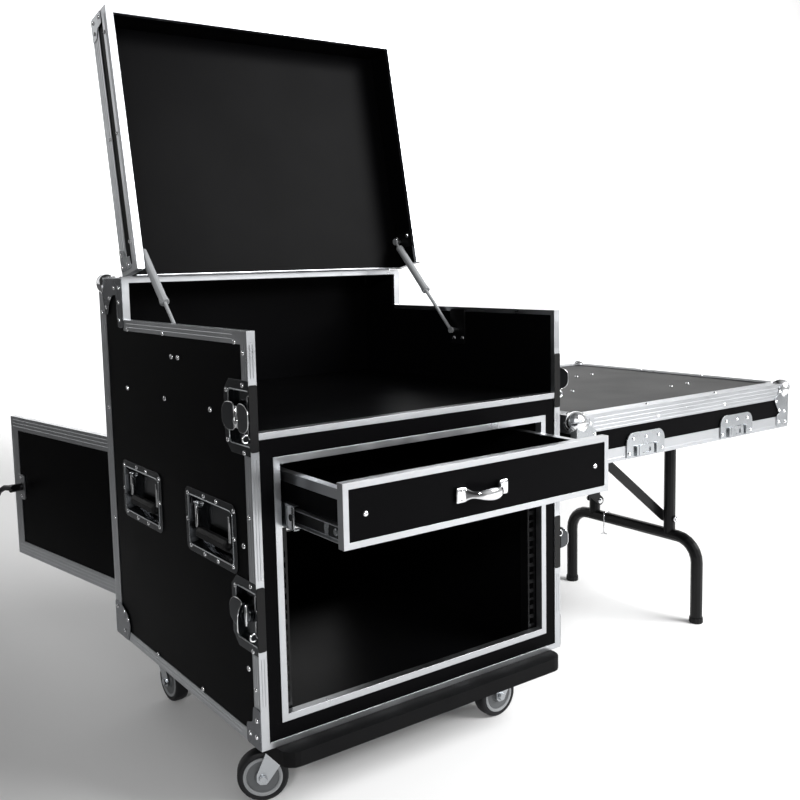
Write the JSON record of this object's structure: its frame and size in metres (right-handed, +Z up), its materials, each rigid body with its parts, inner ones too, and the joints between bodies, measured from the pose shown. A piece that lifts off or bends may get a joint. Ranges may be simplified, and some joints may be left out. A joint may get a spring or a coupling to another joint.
{
  "type": "amp rack case",
  "caption": "Wheeled flight case for rack gear: lid on gas struts, work tray, sliding rack drawer, open bay, rear door and a cover hung as a side table on a folding leg",
  "frame": {"origin": "on the floor, under the middle of the footprint of case, table and open rear door", "axes": "+X to the right seen from the front, towards the side table; +Y to the back of the case; +Z up"},
  "size_m": [1.323, 1.2096, 1.2019],
  "materials": {
    "laminated_ply": "satin",
    "edge_aluminium": "satin",
    "zinc_plate": "satin",
    "bright_chrome": "gloss",
    "black_steel": "satin",
    "black_rubber": "matte",
    "grey_tyre": "matte"
  },
  "bodies": {
    "case": {"side_panel_left": "laminated_ply", "side_panel_right": "laminated_ply", "bay_sleeve": "laminated_ply", "tray_shelf": "laminated_ply", "roof_panel": "laminated_ply", "back_panel": "laminated_ply", "front_frame": "laminated_ply", "opening_trim": "edge_aluminium", "case_edge_frame": "edge_aluminium", "rack_rail_left": "zinc_plate", "rack_rail_right": "zinc_plate", "latch_dish_left_lower": "zinc_plate", "latch_dish_left_upper": "zinc_plate", "latch_dish_right_lower": "zinc_plate", "latch_dish_right_upper": "zinc_plate", "handle_dish_left_front": "zinc_plate", "handle_dish_left_back": "zinc_plate", "handle_dish_right_front": "zinc_plate", "handle_dish_right_back": "zinc_plate", "table_receiver": "zinc_plate", "caster_board": "laminated_ply"},
    "lid": {"lid_shell": "laminated_ply", "lid_edge_frame": "edge_aluminium"},
    "drawer": {"drawer_face": "laminated_ply", "drawer_trim": "edge_aluminium", "drawer_box": "laminated_ply", "drawer_pull": "bright_chrome"},
    "slide_middles": {"slide_middle_left": "zinc_plate", "slide_middle_right": "zinc_plate"},
    "rear_door": {"rear_door_panel": "laminated_ply", "rear_door_frame": "edge_aluminium"},
    "rear_door_latch": {"rear_door_latch": "black_steel"},
    "table": {"table_shell": "laminated_ply", "table_edge_frame": "edge_aluminium", "leg_mount": "black_steel"},
    "leg": {"leg_frame": "black_steel", "leg_foot_cap_front": "black_rubber", "leg_foot_cap_back": "black_rubber"},
    "leg_braces": {"leg_brace_front": "black_steel", "leg_brace_back": "black_steel"},
    "strut_cylinder_left": {"strut_cylinder_left": "bright_chrome"},
    "strut_rod_left": {"strut_rod_left": "bright_chrome"},
    "strut_cylinder_right": {"strut_cylinder_right": "bright_chrome"},
    "strut_rod_right": {"strut_rod_right": "bright_chrome"},
    "caster_fork_front_left": {"caster_fork_front_left": "zinc_plate"},
    "caster_wheel_front_left": {"caster_wheel_front_left": "grey_tyre"},
    "caster_fork_front_right": {"caster_fork_front_right": "zinc_plate"},
    "caster_wheel_front_right": {"caster_wheel_front_right": "grey_tyre"},
    "caster_fork_back_left": {"caster_fork_back_left": "zinc_plate"},
    "caster_wheel_back_left": {"caster_wheel_back_left": "grey_tyre"},
    "caster_fork_back_right": {"caster_fork_back_right": "zinc_plate"},
    "caster_wheel_back_right": {"caster_wheel_back_right": "grey_tyre"},
    "handle_bail_left_front": {"handle_bail_left_front": "black_rubber"},
    "handle_bail_left_back": {"handle_bail_left_back": "black_rubber"},
    "latch_wing_left_lower": {"latch_wing_left_lower": "bright_chrome"},
    "latch_wing_left_upper": {"latch_wing_left_upper": "bright_chrome"},
    "handle_bail_right_front": {"handle_bail_right_front": "black_rubber"},
    "handle_bail_right_back": {"handle_bail_right_back": "black_rubber"},
    "latch_wing_right_lower": {"latch_wing_right_lower": "bright_chrome"},
    "latch_wing_right_upper": {"latch_wing_right_upper": "bright_chrome"}
  },
  "joints": [
    {"name": "lid_hinge", "type": "hinge", "parent": "case", "child": "lid", "pos_m": [-0.28535, 0.0035, 0.763], "axis": [1, 0, 0], "range_deg": [0, 101.1]},
    {"name": "strut_turn_left", "type": "hinge", "parent": "lid", "child": "strut_cylinder_left", "pos_m": [-0.54935, -0.01806, 0.81411], "axis": [1, 0, 0], "range_deg": [-115.93, 0]},
    {"name": "strut_stroke_left", "type": "slide", "parent": "strut_cylinder_left", "child": "strut_rod_left", "axis": [0, -0.7035, -0.7107], "range_m": [-0.07097, 0]},
    {"name": "strut_turn_right", "type": "hinge", "parent": "lid", "child": "strut_cylinder_right", "pos_m": [-0.02135, -0.01806, 0.81411], "axis": [1, 0, 0], "range_deg": [-115.93, 0]},
    {"name": "strut_stroke_right", "type": "slide", "parent": "strut_cylinder_right", "child": "strut_rod_right", "axis": [0, -0.7035, -0.7107], "range_m": [-0.07097, 0]},
    {"name": "drawer_slide", "type": "slide", "parent": "case", "child": "drawer", "axis": [0, 1, 0], "range_m": [-0.15, 0.1445]},
    {"name": "slide_middle_travel", "type": "slide", "parent": "case", "child": "slide_middles", "axis": [0, 1, 0], "range_m": [-0.0755, 0.0727]},
    {"name": "rear_door_hinge", "type": "hinge", "parent": "case", "child": "rear_door", "pos_m": [-0.52535, 0.121, 0.312], "axis": [0, 0, 1], "range_deg": [-100, 0]},
    {"name": "rear_door_latch_turn", "type": "hinge", "parent": "rear_door", "child": "rear_door_latch", "pos_m": [-0.61476, 0.55609, 0.312], "axis": [-0.9848, -0.1736, 0], "range_deg": [0, 90]},
    {"name": "table_lift", "type": "slide", "parent": "case", "child": "table", "axis": [0, 0, 1], "range_m": [0, 0.035]},
    {"name": "leg_fold", "type": "hinge", "parent": "table", "child": "leg", "pos_m": [0.52265, -0.1515, 0.455], "axis": [0, 1, 0], "range_deg": [0, 90]},
    {"name": "leg_brace_fold", "type": "hinge", "parent": "table", "child": "leg_braces", "pos_m": [0.17565, -0.1515, 0.483], "axis": [0, -1, 0], "range_deg": [0, 38]},
    {"name": "caster_swivel_front_left", "type": "hinge", "parent": "case", "child": "caster_fork_front_left", "pos_m": [-0.50835, -0.3675, 0.085], "axis": [0, 0, 1], "continuous": true},
    {"name": "wheel_roll_front_left", "type": "hinge", "parent": "caster_fork_front_left", "child": "caster_wheel_front_left", "pos_m": [-0.53484, -0.35341, 0.0375], "axis": [-0.4695, -0.8829, 0], "continuous": true},
    {"name": "caster_swivel_front_right", "type": "hinge", "parent": "case", "child": "caster_fork_front_right", "pos_m": [-0.06235, -0.3675, 0.085], "axis": [0, 0, 1], "continuous": true},
    {"name": "wheel_roll_front_right", "type": "hinge", "parent": "caster_fork_front_right", "child": "caster_wheel_front_right", "pos_m": [-0.09235, -0.3675, 0.0375], "axis": [0, -1, 0], "continuous": true},
    {"name": "caster_swivel_back_left", "type": "hinge", "parent": "case", "child": "caster_fork_back_left", "pos_m": [-0.50835, 0.0565, 0.085], "axis": [0, 0, 1], "continuous": true},
    {"name": "wheel_roll_back_left", "type": "hinge", "parent": "caster_fork_back_left", "child": "caster_wheel_back_left", "pos_m": [-0.50731, 0.02652, 0.0375], "axis": [0.9994, 0.0349, 0], "continuous": true},
    {"name": "caster_swivel_back_right", "type": "hinge", "parent": "case", "child": "caster_fork_back_right", "pos_m": [-0.06235, 0.0565, 0.085], "axis": [0, 0, 1], "continuous": true},
    {"name": "wheel_roll_back_right", "type": "hinge", "parent": "caster_fork_back_right", "child": "caster_wheel_back_right", "pos_m": [-0.04735, 0.08248, 0.0375], "axis": [-0.866, 0.5, 0], "continuous": true},
    {"name": "handle_swing_left_front", "type": "hinge", "parent": "case", "child": "handle_bail_left_front", "pos_m": [-0.56915, -0.2955, 0.4255], "axis": [0, 1, 0], "range_deg": [0, 90]},
    {"name": "handle_swing_left_back", "type": "hinge", "parent": "case", "child": "handle_bail_left_back", "pos_m": [-0.56915, -0.0365, 0.4255], "axis": [0, 1, 0], "range_deg": [0, 90]},
    {"name": "latch_turn_left_lower", "type": "hinge", "parent": "case", "child": "latch_wing_left_lower", "pos_m": [-0.57435, -0.3955, 0.3], "axis": [1, 0, 0], "range_deg": [-90, 90]},
    {"name": "latch_turn_left_upper", "type": "hinge", "parent": "case", "child": "latch_wing_left_upper", "pos_m": [-0.57435, -0.3955, 0.574], "axis": [1, 0, 0], "range_deg": [-90, 90]},
    {"name": "handle_swing_right_front", "type": "hinge", "parent": "case", "child": "handle_bail_right_front", "pos_m": [-0.00155, -0.2955, 0.4255], "axis": [0, -1, 0], "range_deg": [0, 25]},
    {"name": "handle_swing_right_back", "type": "hinge", "parent": "case", "child": "handle_bail_right_back", "pos_m": [-0.00155, -0.0365, 0.4255], "axis": [0, -1, 0], "range_deg": [0, 25]},
    {"name": "latch_turn_right_lower", "type": "hinge", "parent": "case", "child": "latch_wing_right_lower", "pos_m": [0.00365, -0.3955, 0.3], "axis": [1, 0, 0], "range_deg": [-90, 90]},
    {"name": "latch_turn_right_upper", "type": "hinge", "parent": "case", "child": "latch_wing_right_upper", "pos_m": [0.00365, -0.3955, 0.574], "axis": [1, 0, 0], "range_deg": [-90, 90]}
  ],
  "couplings": [
    {"joint": "strut_turn_left", "follows": "lid_hinge", "ratio": -1.1417},
    {"joint": "strut_stroke_left", "follows": "lid_hinge", "m_per_rad": -0.039935},
    {"joint": "strut_turn_right", "follows": "lid_hinge", "ratio": -1.1417},
    {"joint": "strut_stroke_right", "follows": "lid_hinge", "m_per_rad": -0.039935},
    {"joint": "slide_middle_travel", "follows": "drawer_slide", "ratio": 0.5},
    {"joint": "leg_brace_fold", "follows": "leg_fold", "ratio": 0.42096}
  ]
}
